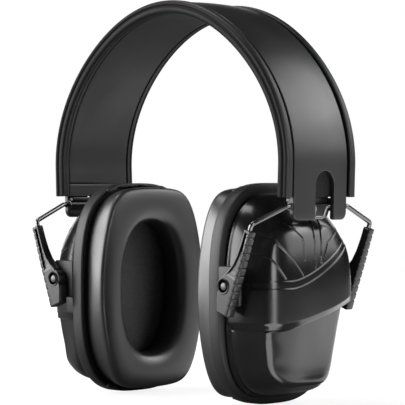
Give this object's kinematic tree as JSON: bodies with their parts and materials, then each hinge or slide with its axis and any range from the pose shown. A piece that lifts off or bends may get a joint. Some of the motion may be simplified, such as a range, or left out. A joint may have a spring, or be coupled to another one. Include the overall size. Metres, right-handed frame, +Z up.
{
  "type": "earmuff hearing protector",
  "caption": "Over-the-head earmuff: padded arched headband, hinged wire yokes with sliding arms, and tilting oval ear cups with soft ring cushions around deep ear openings.",
  "frame": {"origin": "under the middle of the object, on the plane that both cup rims stand on", "axes": "+X towards the right-hand cup, -Y towards the front, +Z up through the top of the headband"},
  "size_m": [0.1528, 0.0864, 0.1858],
  "materials": {
    "band_plastic": "satin black",
    "leatherette": "soft satin black",
    "foam": "matt dark grey foam",
    "steel_wire": "dark polished wire",
    "arm_plastic": "semi-gloss black",
    "shell_plastic": "glossy black",
    "base_plastic": "satin black"
  },
  "bodies": {
    "headband": {"headband_strip": "band_plastic", "headband_sleeve": "leatherette", "headband_foam": "foam"},
    "left_yoke": {"left_yoke_wire": "steel_wire"},
    "left_arms": {"left_front_arm": "arm_plastic", "left_rear_arm": "arm_plastic"},
    "left_cup": {"left_front_pin": "arm_plastic", "left_rear_pin": "arm_plastic", "left_cup_base": "base_plastic", "left_cup_shell": "shell_plastic", "left_cup_liner": "foam", "left_cushion_skin": "leatherette", "left_cushion_foam": "foam", "left_cushion_plate": "base_plastic"},
    "right_yoke": {"right_yoke_wire": "steel_wire"},
    "right_arms": {"right_front_arm": "arm_plastic", "right_rear_arm": "arm_plastic"},
    "right_cup": {"right_front_pin": "arm_plastic", "right_rear_pin": "arm_plastic", "right_cup_base": "base_plastic", "right_cup_shell": "shell_plastic", "right_cup_liner": "foam", "right_cushion_skin": "leatherette", "right_cushion_foam": "foam", "right_cushion_plate": "base_plastic"}
  },
  "joints": [
    {"name": "left_fold", "type": "hinge", "parent": "headband", "child": "left_yoke", "pos_m": [-0.0732, 0, 0.0903], "axis": [0, 1, 0], "range_deg": [-40, 0]},
    {"name": "left_slide", "type": "slide", "parent": "left_yoke", "child": "left_arms", "axis": [0.342, 0, -0.9397], "range_m": [0, 0.02]},
    {"name": "left_tilt", "type": "hinge", "parent": "left_arms", "child": "left_cup", "pos_m": [-0.0558, 0, 0.0552], "axis": [0, -1, 0], "range_deg": [-15, 8]},
    {"name": "right_fold", "type": "hinge", "parent": "headband", "child": "right_yoke", "pos_m": [0.0732, 0, 0.0903], "axis": [0, 1, 0], "range_deg": [0, 40]},
    {"name": "right_slide", "type": "slide", "parent": "right_yoke", "child": "right_arms", "axis": [0.342, 0, 0.9397], "range_m": [-0.02, 0]},
    {"name": "right_tilt", "type": "hinge", "parent": "right_arms", "child": "right_cup", "pos_m": [0.0558, 0, 0.0552], "axis": [0, -1, 0], "range_deg": [-8, 15]}
  ]
}
